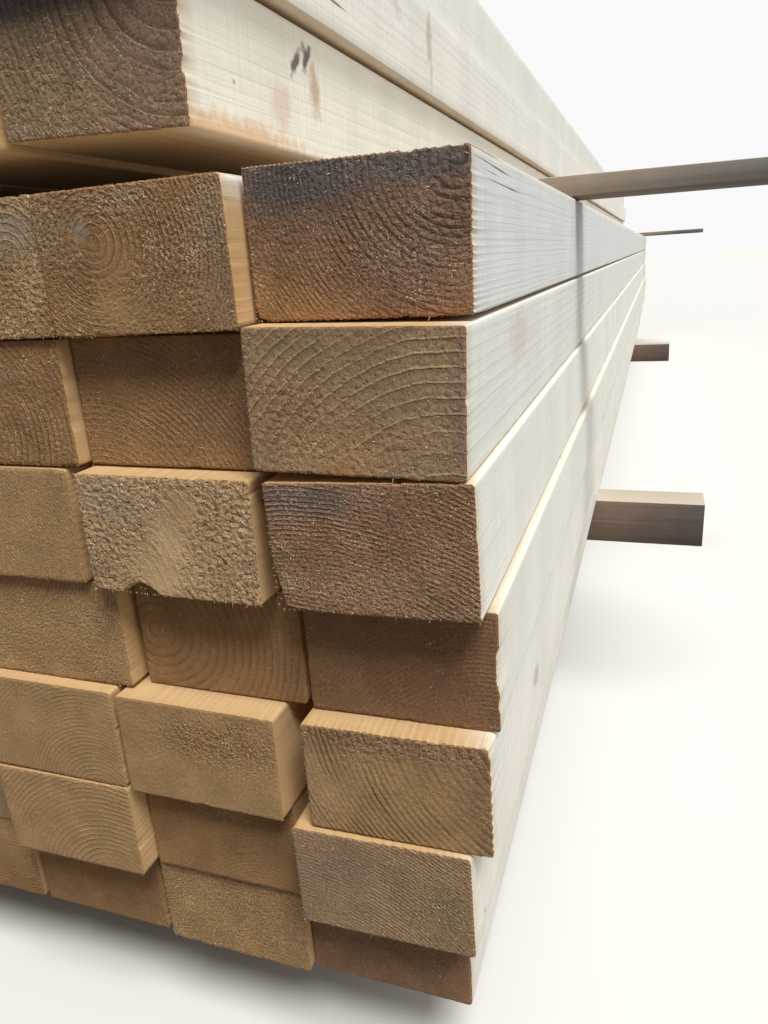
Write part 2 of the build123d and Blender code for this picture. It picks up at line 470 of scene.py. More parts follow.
def press_dents(verts, stud, look, dents, settings):
    """Wears the rim of a near end: its dents, and the small steps between growth rings."""
    half = Vector((stud.width / 2, stud.thickness / 2))
    for vert in verts:
        u, y, v = vert.co
        behind = max(0.0, y - stud.near)
        point = Vector((u, v))
        for dent in dents:
            middle = Vector((dent.u, dent.v)) * MM
            inward = -Vector(((middle.x / half.x) ** 5, (middle.y / half.y) ** 5)).normalized()
            away = point - middle
            inside = away.dot(inward)
            along = (away - inward * inside).length
            fade = max(0.0, 1 - (2 * along / (dent.wide * MM)) ** 2)
            fade *= max(0.0, 1 - behind / (dent.long * MM))
            push = inward * dent.deep * MM * fade
            point += push * max(0.0, 1 - inside / (4 * dent.deep * MM))
        step = rings_at(u, v, look) % 1.0 - 0.5
        from_side = half.x - abs(u)
        from_top = half.y - abs(v)
        edge = min(from_side, from_top)
        if edge < STEP_BAND and behind < STEP_REACH:
            bite = settings.rim_step * (0.5 + step) * (1 - edge / STEP_BAND) * (1 - behind / STEP_REACH)
            bite *= look.show * (0.8 - 0.5 * look.lines)
            if from_side < from_top:
                point.x -= math.copysign(bite, u)
            else:
                point.y -= math.copysign(bite, v)
        vert.co = (point.x, y, point.y)


def faces_since(bm, old_faces):
    """The faces that a bmesh has gained."""
    return [face for face in bm.faces if face not in old_faces]


def add_stud(bm, stud, look, open_sides, shown, settings, seed, dice):
    """One stud: two sawn ends, joined by planed faces, with its worn rim where it shows."""
    old_faces = set(bm.faces)
    # A far end is as plain as the ends that the photograph doesn't show
    plain = usual_look(dice) if shown else look
    near = add_end(bm, stud, -1, look, settings, seed)
    far = add_end(bm, stud, 1, look._replace(cell=plain.cell), settings, seed + 50)
    for face in faces_since(bm, old_faces):
        face.material_index = SAWN_END
    rims = {edge for vert in near + far for edge in vert.link_edges if edge.is_boundary}
    for face in bmesh.ops.bridge_loops(bm, edges=list(rims))["faces"]:
        face.material_index = PLANED
    faces = faces_since(bm, old_faces)
    if shown:
        for depth in settings.wear_depths:
            edges = {edge for face in faces for edge in face.edges}
            verts = {vert for face in faces for vert in face.verts}
            bmesh.ops.bisect_plane(
                bm,
                geom=[*verts, *edges, *faces],
                plane_co=(0, stud.near + depth, 0),
                plane_no=(0, 1, 0),
            )
            faces = faces_since(bm, old_faces)
    verts = {vert for face in faces for vert in face.verts}
    paint_stud(bm, verts, stud, look, open_sides, seed)
    if shown:
        press_dents(verts, stud, look, [*look.dents, *small_dents(stud, dice)], settings)
    bmesh.ops.recalc_face_normals(bm, faces=faces)
    bmesh.ops.transform(bm, matrix=section_matrix(stud), verts=list(verts))


def small_dents(stud, dice):
    """A few small chips round a near end."""
    dents = []
    for _chip in range(CHIPS):
        u, v, _ = rim_point(dice.random() * 2 * (stud.width + stud.thickness), stud)
        sizes = (dice.uniform(1.5, 6), dice.uniform(0.15, 0.55), dice.uniform(3, 12))
        dents.append(Dent(u / MM, v / MM, *sizes))
    return dents


def paint_stud(bm, verts, stud, look, open_sides, seed):
    """Gives a stud's points what its materials read: its grain, rings, section, knots and weather."""
    layers = bm.verts.layers.float_vector
    for vert in verts:
        u, y, v = vert.co
        # Each stud is cut 7 m further along its tree than the one before, so no two share a pattern
        vert[layers["grain"]] = (u - look.pith[0] * MM, y + seed * 7.0, v - look.pith[1] * MM)
        vert[layers["rings"]] = (look.ring, look.tighten, look.lines)
        vert[layers["section"]] = (2 * u / stud.width, 2 * v / stud.thickness, y - stud.near)
        vert[layers["knot"]] = (look.knot[0] * MM, math.radians(look.knot[1]), look.knot[2])
        vert[layers["weather"]] = open_sides
        vert[bm.verts.layers.float["show"]] = look.show


def add_fibres(bm, stud, look, open_sides, settings, seed, dice):
    """Torn fibres that stand out of a near sawn end and along its rim."""
    small = bmesh.new()
    add_layers(small)
    half_width = stud.width / 2
    half_height = stud.thickness / 2
    starts = []
    for _ in range(settings.fibre_tries):
        u = dice.uniform(-0.97, 0.97) * half_width
        v = dice.uniform(-0.97, 0.97) * half_height
        torn = tone_and_tear(u, v, look, seed)[1]
        clump = 0.6 + noise_at(u, v, 90, seed + 11)
        on_ridge = 0.3 if rings_at(u, v, look) % 1.0 > 0.6 else 0.0
        if torn * (clump + on_ridge) > dice.uniform(0.1, 1.1):
            starts.append((u, v))
    for u, v in starts:
        lean = Vector((dice.uniform(-1, 1), -dice.uniform(0.1, 0.8), dice.uniform(-1, 0.5)))
        length = dice.uniform(0.5, 1.4) * MM
        thickness = dice.uniform(0.1, 0.2) * MM
        add_fibre(small, Vector((u, stud.near, v)), lean.normalized(), length, thickness)
    rim = 2 * (stud.width + stud.thickness)
    for step in range(int(rim / settings.rim_fibre_gap)):
        along = (step + dice.random()) * settings.rim_fibre_gap
        u, v, out = rim_point(along, stud)
        aside = (dice.uniform(-0.8, 0.8), -dice.uniform(0.0, 0.6), dice.uniform(-0.8, 0.8))
        lean = (out + Vector(aside)).normalized()
        start = Vector((u, stud.near + 0.3 * MM, v)) - out * 0.5 * MM
        length = dice.uniform(0.3, 0.6 + look.torn) * MM
        if out.z < 0 and dice.random() < 0.1 * look.torn:
            length = dice.uniform(1.5, 3.0) * MM
        add_fibre(small, start, lean, length, dice.uniform(0.1, 0.2) * MM)
    paint_stud(small, small.verts, stud, look, open_sides, seed)
    tone = small.verts.layers.float_vector["tone"]
    for vert in small.verts:
        vert[tone] = tone_and_tear(vert.co.x, vert.co.z, look, seed)[0]
    small.transform(section_matrix(stud))
    for face in small.faces:
        face.material_index = FIBRES
    mesh = new_mesh("fibres", small)
    bm.from_mesh(mesh)
    bpy.data.meshes.remove(mesh)


def add_fibre(bm, start, lean, length, thickness):
    """One torn fibre: a long thin three-sided point that leans one way."""
    turn = lean.to_track_quat("Z", "Y").to_matrix().to_4x4()
    bmesh.ops.create_cone(
        bm,
        cap_ends=True,
        segments=3,
        radius1=thickness,
        radius2=0,
        depth=length,
        matrix=Matrix.Translation(start + lean * length * 0.4) @ turn,
    )


def rim_point(along, stud):
    """A point on the edge of a section, and the direction out of it there."""
    wide = stud.width
    tall = stud.thickness
    if along < wide:
        return along - wide / 2, tall / 2, Vector((0, 0, 1))
    if along < wide + tall:
        return wide / 2, along - wide - tall / 2, Vector((1, 0, 0))
    if along < 2 * wide + tall:
        return along - wide - tall - wide / 2, -tall / 2, Vector((0, 0, -1))
    return -wide / 2, along - 2 * wide - tall - tall / 2, Vector((-1, 0, 0))


def usual_look(dice):
    """The look of an end that the photograph doesn't show."""
    angle = dice.uniform(0, 2 * math.pi)
    reach = dice.uniform(8, 80)
    return EndLook(
        pith=(reach * math.cos(angle), reach * math.sin(angle)),
        ring=dice.uniform(1.6, 3.6),
        tighten=dice.uniform(0, 0.6),
        lines=dice.uniform(-0.9, 0.9),
        show=dice.uniform(0.2, 0.8),
        torn=dice.uniform(0.05, 0.5),
        tone=dice.choice(["tan", "tan", "brown", "brown", "umber", "straw", "dun"]),
        patches=[
            Patch(
                u=dice.uniform(-30, 30),
                v=dice.uniform(-18, 18),
                wide=dice.uniform(8, 24),
                tall=dice.uniform(6, 14),
                tone=dice.choice(["tan", "brown", "grey", "slate", "gold"]),
                torn=dice.uniform(0, 1),
                strength=dice.uniform(0.3, 0.7),
            )
            for _ in range(2)
        ],
        knot=(dice.uniform(60, 500), dice.uniform(0, 360), dice.uniform(4, 8)),
        cool=dice.random(),
        cell=3.0,
    )


def add_layers(bm):
    """The values that a stud's materials read."""
    for name in ("grain", "rings", "section", "knot", "weather", "tone"):
        bm.verts.layers.float_vector.new(name)
    for name in ("torn", "show"):
        bm.verts.layers.float.new(name)


def new_mesh(name, bm):
    """A mesh with what a bmesh holds. The bmesh is freed."""
    mesh = bpy.data.meshes.new(name)
    bm.to_mesh(mesh)
    bm.free()
    return mesh


def new_object(name, data):
    """A new object in the scene."""
    made = bpy.data.objects.new(name, data)
    bpy.context.scene.collection.objects.link(made)
    return made


def finish_piece(bm, name, materials, slot, *nodes):
    """Makes a bmesh a piece that rides on the bundle and stands for CAD nodes."""
    mesh = new_mesh(name, bm)
    for material in materials:
        mesh.materials.append(material)
    mesh.polygons.foreach_set("use_smooth", [True] * len(mesh.polygons))
    mesh.set_sharp_from_angle(angle=SHARP_ANGLE)
    piece = new_object(name, mesh)
    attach(piece, "root")
    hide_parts(*nodes)


def new_material(name):
    """An empty node material, and the function that adds a node to it."""
    material = bpy.data.materials.new(name)
    material.use_nodes = True
    material.node_tree.nodes.clear()
    return material, partial(add_node, material.node_tree)


def drawn_out_noise(add, place, scale, detail):
    """Noise with its own scale along each axis, in patterns a metre."""
    place = add("VectorMath", place, scale, operation="MULTIPLY")
    return add("TexNoise", place, 1.0, detail)


# What the wood is like at a point: its place in the tree, in metres from the pith, its direction and
# its distance from the pith in millimetres, the rings between, how pale its lines are, a paleness
# that is partly painted highlight, how far it is into late wood or a ring's hard edge, how near a
# knot, and its place in the stud
Growth = namedtuple(
    "Growth", "grain spokes radius count lines late ridge knot knot_rim section weather"
)


def add_growth(add):
    """The growth rings at a point, and the knots that run out from the pith through them."""
    painted = ("grain", "rings", "section", "knot", "weather")
    grain, *vectors = (add("Attribute", attribute_name=name).outputs["Vector"] for name in painted)
    rings, section, knots, weather = (add("SeparateXYZ", vector).outputs for vector in vectors)
    flat = add("VectorMath", grain, (1 / MM, 0, 1 / MM), operation="MULTIPLY")
    radius = add("VectorMath", flat, operation="LENGTH")
    knot, knot_rim, bulge = add_knots(add, flat, radius, section["Z"], knots)

    # Rings wander by about 4 mm over a hand's width, and by a third of a millimetre close up
    slow = drawn_out_noise(add, grain, (28, 1.1, 28), 2.0)
    fine = drawn_out_noise(add, grain, (330, 9, 330), 2.0)
    reach = add("MULTIPLY_ADD", slow, 4.0, radius)
    reach = add("MULTIPLY_ADD", fine, 0.8, reach)
    reach = add("ADD", reach, bulge)
    reach = add("SUBTRACT", reach, 2.4)
    closer = add("MULTIPLY", reach, rings["Y"])
    closer = add("MULTIPLY_ADD", closer, 0.01, 1.0)
    count = add("DIVIDE", reach, rings["X"])
    count = add("MULTIPLY", count, closer)
    through = add("FRACT", count)
    ring = add("FLOOR", count)
    strength = add("TexWhiteNoise", ring, noise_dimensions="1D")
    strength = add("MULTIPLY_ADD", strength, 0.5, 0.5)
    late = add("ValToRGB", through, stops=[(0, 0), (0.4, 0), (0.78, 1), (0.9, 0.9), (0.97, 0)])
    late = add("MULTIPLY", late, strength)
    # A ring ends in a hard thin ridge, about a third of a millimetre to each side
    spacing = add("MULTIPLY_ADD", closer, 2.0, -1.0)
    spacing = add("DIVIDE", rings["X"], spacing)
    ridge = add("WRAP", count, 0.5, -0.5)
    ridge = add("ABSOLUTE", ridge)
    ridge = add("MULTIPLY", ridge, spacing)
    ridge = add("MapRange", ridge, 0.12, 0.5, 1.0, 0.0)
    ridge = add("MULTIPLY", ridge, strength)
    spokes = add("VectorMath", flat, operation="NORMALIZE")
    lines = rings["Z"]
    return Growth(grain, spokes, radius, count, lines, late, ridge, knot, knot_rim, section, weather)


def add_knots(add, flat, radius, along_stud, knots):
    """How near a point is to a knot and to its rim, and how far the rings swell round it."""
    # Each whorl has two knots opposite each other, which widen from the pith outwards
    across = add("SeparateXYZ", flat).outputs
    turn = add("ARCTAN2", across["Z"], across["X"])
    whorls = add("SUBTRACT", along_stud, knots["X"])
    whorls = add("DIVIDE", whorls, WHORL_SPACING)
    whorl = add("ROUND", whorls)
    along = add("SUBTRACT", whorls, whorl)
    along = add("MULTIPLY", along, WHORL_SPACING / MM)
    twist = add("MULTIPLY_ADD", whorl, WHORL_TWIST, knots["Y"])
    beside = add("SUBTRACT", turn, twist)
    beside = add("WRAP", beside, math.pi / 2, -math.pi / 2)
    beside = add("MULTIPLY", beside, radius)
    chance = add("MULTIPLY_ADD", knots["X"], 37.0, whorl)
    chance = add("TexWhiteNoise", chance, noise_dimensions="1D")
    size = add("MULTIPLY_ADD", radius, 0.011, 0.35)
    size = add("MULTIPLY", size, knots["Z"])
    vary = add("MULTIPLY_ADD", chance, 0.5, 0.5)
    size = add("MULTIPLY", size, vary)
    spot = add("CombineXYZ", along, beside, 0.0)
    spot = add("VectorMath", spot, operation="LENGTH")
    spot = add("DIVIDE", spot, size)
    knot = add("MapRange", spot, 0.8, 1.05, 1.0, 0.0)
    rim = add("COMPARE", spot, 1.0, 0.2)
    bulge = add("MapRange", spot, 0.9, 3.6, 5.0, 0.0, interpolation_type="SMOOTHSTEP")
    return knot, rim, bulge


def sawn_end_material(settings):
    """Rough-sawn pine end grain, weathered brown: matt, with open rings and torn pale specks."""
    material, add = new_material("rough_sawn_pine_end_grain")
    growth = add_growth(add)
    tone = add("Attribute", attribute_name="tone").outputs["Vector"]
    torn, show = (add("Attribute", attribute_name=name).outputs["Fac"] for name in ("torn", "show"))
    # Rings are plain in one place and hardly seen 2 cm further on
    plain = add("TexNoise", growth.grain, 42.0, 2.0)
    plain = add("MapRange", plain, 0.36, 0.6, 0.3, 1.15)
    show = add("MULTIPLY", show, plain)

    # The saw tears holes and tufts out of the soft early wood, half a ring across and up to 1.5 mm
    coarse = add("MULTIPLY", growth.radius, 0.3)
    coarse = add("MAXIMUM", coarse, growth.count)
    pit = add("VectorMath", growth.spokes, coarse, operation="SCALE")
    pit = add("TexNoise", pit, 1.7, 1.0)
    early = add("SUBTRACT", 1.0, growth.late)
    hole = add("MapRange", pit, 0.46, 0.33)
    hole = add("MULTIPLY", hole, early)
    hole = add("MULTIPLY", hole, torn)
    tuft = add("MapRange", pit, 0.53, 0.7)
    tuft = add("MULTIPLY", tuft, torn)
    # It also drags fine hatching out along the rays, about half a millimetre apart
    ray = add("VectorMath", growth.spokes, (80, 80, 80), operation="MULTIPLY")
    out = add("MULTIPLY", growth.radius, 0.8)
    ray = add("TexNoise", ray, out, 1.0, 1.0, noise_dimensions="4D")
    # The cut fibres are too fine to show, so this grain is drawn at half a millimetre
    sand = add("TexNoise", growth.grain, 1900.0, 1.0)
    patch = add("TexNoise", growth.grain, 75.0, 3.0)

    dark = add("MapRange", growth.lines, -1.0, 1.0, 0.72, 0.3)
    # pale lightens the ring ridges: partly the paler wood there and partly a painted highlight, as of
    # light caught on the raised ridges, which the relief below also raises
    pale = add("MapRange", growth.lines, -1.0, 1.0, 0.0, 0.62)
    for factor in (growth.late, show):
        dark = add("MULTIPLY", dark, factor)
    for factor in (growth.ridge, show):
        pale = add("MULTIPLY", pale, factor)
    shade = add("SUBTRACT", 1.12, dark)
    shade = add("ADD", shade, pale)
    # Holes are painted darker: painted shade inside them, on top of their sinking in the relief below
    shade = add("MULTIPLY_ADD", hole, -0.5, shade)
    shade = add("MULTIPLY_ADD", tuft, 0.22, shade)
    rough = add("MULTIPLY_ADD", torn, 0.5, 0.42)
    hatch = add("MapRange", ray, 0.3, 0.7, -0.28, 0.24)
    grit = add("MapRange", sand, 0.3, 0.7, -0.38, 0.34)
    hatch = add("ADD", hatch, grit)
    hatch = add("MULTIPLY_ADD", hatch, rough, 1.0)
    mottle = add("MapRange", patch, 0.3, 0.7, 0.85, 1.12)
    for factor in (hatch, mottle):
        shade = add("MULTIPLY", shade, factor)
    shade = add("MAXIMUM", shade, 0.08)
    wood = add("VectorMath", tone, shade, operation="SCALE")

    # The rim lets a little light through, so it looks warmer
    wide = add("ABSOLUTE", growth.section["X"])
    wide = add("MapRange", wide, 0.98, 0.992, 0.0, 0.35)
    tall = add("ABSOLUTE", growth.section["Y"])
    tall = add("MapRange", tall, 0.965, 0.988, 0.0, 0.35)
    rim = add("MAXIMUM", wide, tall)
    wood = add("Mix", rim, wood, settings.rim, data_type="RGBA")
    clump = add("TexNoise", growth.grain, 120.0, 2.0)
    specks = add("MULTIPLY", clump, 0.5)
    specks = add("MULTIPLY_ADD", sand, 0.9, specks)
    specks = add("MULTIPLY_ADD", torn, 0.16, specks)
    specks = add("MapRange", specks, 0.945, 1.03, 0.0, 0.75)
    wood = add("Mix", specks, wood, settings.fibre, data_type="RGBA")

    # Heights in millimetres
    relief = add("MULTIPLY", pale, 0.4)
    relief = add("MULTIPLY_ADD", dark, -0.25, relief)
    relief = add("MULTIPLY_ADD", hole, -0.55, relief)
    relief = add("MULTIPLY_ADD", tuft, 0.25, relief)
    fine = add("ADD", ray, sand)
    fine = add("MULTIPLY", fine, rough)
    relief = add("MULTIPLY_ADD", fine, 0.22, relief)
    finish_material(add, wood, relief, 1.0, 0.92, 0.15)
    return material


def finish_material(add, colour, relief, bumpiness, roughness, gloss):
    """The shader of a material, with its relief in millimetres."""
    bump = add("Bump", sockets={"Strength": bumpiness, "Distance": MM, "Height": relief})
    looks = {"Base Color": colour, "Normal": bump, "Roughness": roughness, "Specular IOR Level": gloss}
    add("OutputMaterial", add("BsdfPrincipled", sockets=looks))


def planed_material(settings):
    """Planed pine: smooth, straw-coloured where it is covered and bleached pale where it is open."""
    material, add = new_material("planed_pine_face")
    growth = add_growth(add)
    soft = add("MAXIMUM", growth.late, growth.ridge)
    soft = add("MULTIPLY", soft, 0.5)
    inner = add("Mix", soft, settings.inner_early, settings.inner_late, data_type="RGBA")
    greying = (growth.weather["Z"], settings.bleached_warm, settings.bleached_cool)
    pale = add("Mix", *greying, data_type="RGBA")
    # Both are near 1 on a face that is open to the weather
    upward = add("MULTIPLY", growth.section["Y"], growth.weather["Y"])
    sideways = add("MULTIPLY", growth.section["X"], growth.weather["X"])
    # Tops grey more on one stud than on the next
    greyed = add("MapRange", growth.weather["Z"], 0.0, 1.0, 1.12, 0.88)
    greyed = add("VectorMath", settings.bleached_top, greyed, operation="SCALE")
    lying = add("MapRange", upward, 0.95, 0.99)
    pale = add("Mix", lying, pale, greyed, data_type="RGBA")
    faint = add("MULTIPLY_ADD", growth.late, -0.05, 1.02)
    faint = add("MULTIPLY_ADD", growth.ridge, -0.12, faint)
    pale = add("VectorMath", pale, faint, operation="SCALE")
    strip = add("MapRange", sideways, 0.6, 0.95, 0.0, 0.7)
    side = add("MapRange", sideways, 0.95, 0.99)
    side = add("MAXIMUM", strip, side)
    top = add("MapRange", upward, 0.5, 0.95)
    bare = add("MAXIMUM", side, top)
    wood = add("Mix", bare, inner, pale, data_type="RGBA")

    # The planer leaves streaks about half a millimetre wide, and hairlines up to 20 cm long
    streak = drawn_out_noise(add, growth.grain, (1500, 26, 1500), 3.0)
    shade = add("MapRange", streak, 0.25, 0.75, 0.94, 1.04)
    hair = drawn_out_noise(add, growth.grain, (900, 5, 900), 2.0)
    hair = add("MapRange", hair, 0.56, 0.68, 1.0, 0.92)
    # Its knives leave upright ripples 1.5 mm apart
    ripple = drawn_out_noise(add, growth.grain, (25, 650, 25), 2.0)
    knives = add("MapRange", ripple, 0.3, 0.7, 0.95, 1.04)
    # Rain and handling leave soft bands across the stud, a few centimetres wide
    band = drawn_out_noise(add, growth.grain, (5, 22, 5), 3.0)
    band = add("MapRange", band, 0.3, 0.7, 0.93, 1.04)
    for factor in (hair, knives, band):
        shade = add("MULTIPLY", shade, factor)
    wood = add("VectorMath", wood, shade, operation="SCALE")

    # Both ends have taken up dirt: 15 mm of it on covered faces, and 5 mm on bleached ones
    middle = add("SUBTRACT", growth.section["Z"], STUD_LENGTH / 2)
    middle = add("ABSOLUTE", middle)
    depth = add("SUBTRACT", STUD_LENGTH / 2, middle)
    depth = add("MULTIPLY_ADD", streak, 6 * MM, depth)
    deep = add("MapRange", depth, 4 * MM, 22 * MM, 0.7, 0.0)
    thin = add("MapRange", depth, 2 * MM, 12 * MM, 0.5, 0.0)
    stain = add("Mix", bare, deep, thin)
    knot = add("MULTIPLY", growth.knot, 0.7)
    bark = add("MULTIPLY", growth.knot_rim, 0.35)
    for amount, paint in ((stain, settings.stain), (knot, settings.knot), (bark, settings.knot_rim)):
        wood = add("Mix", amount, wood, paint, data_type="RGBA")

    # Marks and checks lie on the bundle's open right side
    place = add("TexCoord").outputs["Object"]
    right = add("SeparateXYZ", place).outputs["X"]
    right = add("GREATER_THAN", right, 0.0)
    open_side = add("GREATER_THAN", sideways, 0.97)
    right = add("MULTIPLY", right, open_side)
    wood = add_marks(add, wood, place, right)
    crack = add_checks(add, place, right, streak)
    wood = add("Mix", crack, wood, settings.knot_rim, data_type="RGBA")

    # Heights in millimetres
    relief = add("MULTIPLY", streak, 0.08)
    relief = add("MULTIPLY_ADD", growth.ridge, 0.04, relief)
    relief = add("MULTIPLY_ADD", ripple, 0.08, relief)
    relief = add("MULTIPLY_ADD", crack, -0.5, relief)
    finish_material(add, wood, relief, 0.8, 0.6, 0.3)
    return material


def add_marks(add, wood, place, right):
    """The bark-edged knots, resin and stains on the bundle's right side, and a warm glow painted along
    one edge.
    """
    blur = add("TexNoise", place, 260.0, 3.0)
    for mark in MARKS:
        middle = (0, mark.y * MM, mark.z * MM)
        lean = (-math.radians(mark.lean), 0, 0)
        reach = (1000, mark.long * MM, mark.tall * MM)
        spot = add("Mapping", place, middle, lean, reach, vector_type="TEXTURE")
        spot = add("VectorMath", spot, operation="LENGTH")
        spot = add("MULTIPLY_ADD", blur, 1.6, spot)
        spot = add("MapRange", spot, 1.3, 2.0, mark.strength, 0.0)
        spot = add("MULTIPLY", spot, right)
        wood = add("Mix", spot, wood, linear(mark.colour), data_type="RGBA")
    return wood


def add_checks(add, place, right, fine):
    """The dark drying checks in the bundle's right side."""
    place = add("SeparateXYZ", place).outputs
    total = 0.0
    for start_y, start_z, end_y, end_z, half_width in CHECKS:
        ends = (start_y * MM, end_y * MM)
        along = add("MapRange", place["Y"], *ends)
        line = add("MapRange", place["Y"], *ends, start_z * MM, end_z * MM)
        line = add("MULTIPLY_ADD", fine, 0.8 * MM, line)
        away = add("SUBTRACT", place["Z"], line)
        away = add("ABSOLUTE", away)
        wide = add("ValToRGB", along, stops=[(0, 0), (0.12, 0.6), (0.6, 1), (1, 0)])
        wide = add("MULTIPLY", wide, half_width * MM)
        inside = add("SUBTRACT", wide, away)
        inside = add("MapRange", inside, 0.0, 0.2 * MM, 0.0, 0.8)
        total = add("MAXIMUM", total, inside)
    return add("MULTIPLY", total, right)


def fibre_material(settings):
    """Torn pine fibres: pale, dry and matt."""
    material, add = new_material("torn_pine_fibre")
    grain = add("Attribute", attribute_name="grain").outputs["Vector"]
    tone = add("Attribute", attribute_name="tone").outputs["Vector"]
    vary = drawn_out_noise(add, grain, (400, 400, 400), 2.0)
    vary = add("MapRange", vary, 0.35, 0.65, 0.15, 0.75)
    wood = add("Mix", vary, tone, settings.fibre, data_type="RGBA")
    add("OutputMaterial", add("BsdfPrincipled", sockets={"Base Color": wood, "Roughness": 0.85}))
    return material


def sawn_bar_material(name, dark, pale, bleached):
    """Rough-sawn softwood that has greyed outdoors: matt, paler on top, with saw marks across it."""
    material, add = new_material(name)
    place = add("TexCoord").outputs
    streak = drawn_out_noise(add, place["Object"], (7, 420, 420), 5.0)
    patches = add("TexNoise", place["Object"], 14.0, 3.0)
    tone = add("MULTIPLY_ADD", patches, 0.9, streak)
    tone = add("MapRange", tone, 0.6, 1.3)
    wood = add("Mix", tone, dark, pale, data_type="RGBA")
    # Outside the stack the bars have greyed more
    outside = add("SeparateXYZ", place["Object"]).outputs["X"]
    outside = add("ABSOLUTE", outside)
    outside = add("MapRange", outside, 0.53, 0.64)
    greyer = add("VectorMath", wood, (0.45, 0.53, 0.66), operation="MULTIPLY")
    wood = add("Mix", outside, wood, greyer, data_type="RGBA")
    up = add("SeparateXYZ", place["Normal"]).outputs["Z"]
    up = add("MapRange", up, 0.6, 0.9, 0.0, 0.85)
    wood = add("Mix", up, wood, bleached, data_type="RGBA")
    # Saw marks are about 3 mm apart and a quarter of a millimetre deep
    marks = add("TexWave", place["Object"], 17.0, 1.5, bands_direction="X").outputs["Fac"]
    relief = add("MULTIPLY", marks, 0.08)
    relief = add("MULTIPLY_ADD", streak, 0.25, relief)
    finish_material(add, wood, relief, 0.8, 0.85, 0.2)
    return material


# How finely a bar is cut along its length, and how far its faces wander from flat, in millimetres
BAR_CUTS = 60
BAR_WANDER = 0.35


def add_bar(node_name, material, slot, bevel):
    """A lath or bearer with worn edges, where its CAD solid lies."""
    low, high = (Vector(corner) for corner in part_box(node_name))
    size = high - low
    bm = bmesh.new()
    bmesh.ops.create_cube(bm, size=1.0)
    bmesh.ops.scale(bm, vec=size, verts=bm.verts)
    bmesh.ops.translate(bm, vec=(low + high) / 2, verts=bm.verts)
    bmesh.ops.bevel(
        bm, geom=bm.edges, offset=bevel, segments=2, profile=0.5, affect="EDGES", material=-1
    )
    long_edges = [edge for edge in bm.edges if edge.calc_length() > size.x * 0.9]
    bmesh.ops.subdivide_edges(bm, edges=long_edges, cuts=BAR_CUTS, use_grid_fill=True)
    for vert in bm.verts:
        wear = noise.noise_vector(vert.co * 60) * BAR_WANDER * MM
        vert.co += Vector((wear.x, wear.y, 0))
    finish_piece(bm, f"{node_name}_sawn", [material], slot, node_name)


def colour_setting(name, description, hex_colour):
    """A colour that a user can change."""
    return FloatVectorProperty(
        name=name, description=description, subtype="COLOR", default=linear(hex_colour)
    )


def length_setting(name, description, metres):
    """A length that a user can change."""
    return FloatProperty(name=name, description=description, unit="LENGTH", default=metres)


class StudSettings(bpy.types.PropertyGroup):
    """Sizes and colours of the studs."""

    edge_wear: length_setting("Edge wear", "How far the rim of an end is worn back", 0.6 * MM)
    rim_step: length_setting("Rim step", "Step between growth rings at a rim", 0.4 * MM)
    wear_depths: FloatVectorProperty(
        name="Wear depths",
        description="Where a worn stud is cut across to shape its wear",
        size=5,
        unit="LENGTH",
        default=(0.0015, 0.004, 0.009, 0.02, 0.06),
    )
    fibre_tries: IntProperty(
        name="Fibres", description="Places for torn fibres on each shown end", default=650
    )
    rim_fibre_gap: length_setting("Rim fibre gap", "Distance between the fibres round an end", 1.6 * MM)
    rim: colour_setting("Rim", "Warm edge of a sawn end", "#9E6D45")
    fibre: colour_setting("Fibre", "Torn fibres", "#D8C6A4")
    inner_early: colour_setting("Inner early wood", "Covered faces, early wood", "#D4B389")
    inner_late: colour_setting("Inner late wood", "Covered faces, late wood", "#BC9364")
    bleached_warm: colour_setting("Bleached, warm", "Open faces, warm", "#E8E2D3")
    bleached_cool: colour_setting("Bleached, cool", "Open faces, cool", "#D3D5CF")
    bleached_top: colour_setting("Bleached, top", "Open tops", "#BCB09D")
    stain: colour_setting("Stain", "Dirt taken up by the ends", "#B59464")
    knot: colour_setting("Knot", "Knots in planed faces", "#A17F5E")
    knot_rim: colour_setting("Knot rim", "Bark round knots, and checks", "#57483D")


class BarSettings(bpy.types.PropertyGroup):
    """Sizes and colours of the laths and bearers."""

    edge_wear: length_setting("Edge wear", "Width of a bar's broken edges", 1 * MM)
    lath_dark: colour_setting("Lath dark", "Greyed lath, dark", "#8A7C6D")
    lath_pale: colour_setting("Lath pale", "Greyed lath, pale", "#A19180")
    bearer_dark: colour_setting("Bearer dark", "Sawn bearer, dark", "#6A5848")
    bearer_pale: colour_setting("Bearer pale", "Sawn bearer, pale", "#877364")
    bleached: colour_setting("Bleached", "Tops of the bars", "#B8AC9B")


class StageSettings(bpy.types.PropertyGroup):
    """The floor, the light and the camera."""

    floor_colour: colour_setting("Floor", "Colour of the floor", "#CFCDC8")
    floor_bounce: colour_setting("Floor bounce", "Colour that the floor throws back", "#5A5550")
    sky_strength: FloatProperty(name="Sky", description="Strength of the even light", default=0.095)
    key_strength: FloatProperty(name="Key", description="Strength of the light from above", default=4.3)
    side_strength: FloatProperty(
        name="Side", description="Strength of the light from the right", default=1.68
    )


def add_layer(context, number, materials, dice):
    """The studs of one layer."""
    settings = context.scene.stud_settings
    bm = bmesh.new()
    add_layers(bm)
    studs = read_studs(LAYERS[number - 1])
    for column, stud in enumerate(studs):
        seed = number * 20 + column
        shown = (number, column) in SHOWN_ENDS
        look = SHOWN_ENDS[number, column] if shown else usual_look(dice)
        side = {0: 1.0, len(studs) - 1: -1.0}.get(column, 0.0)
        top = 1.0 if number in (TOP_LOWER_LAYER, TOP_LAYER) else 0.0
        open_sides = (side, top, look.cool)
        stud = stud._replace(near=stud.near + look.sunk * MM)
        add_stud(bm, stud, look, open_sides, shown, settings, seed, dice)
        if shown:
            add_fibres(bm, stud, look, open_sides, settings, seed, dice)
    finish_piece(bm, f"studs_{number:02d}", materials, "planed_pine", LAYERS[number - 1])


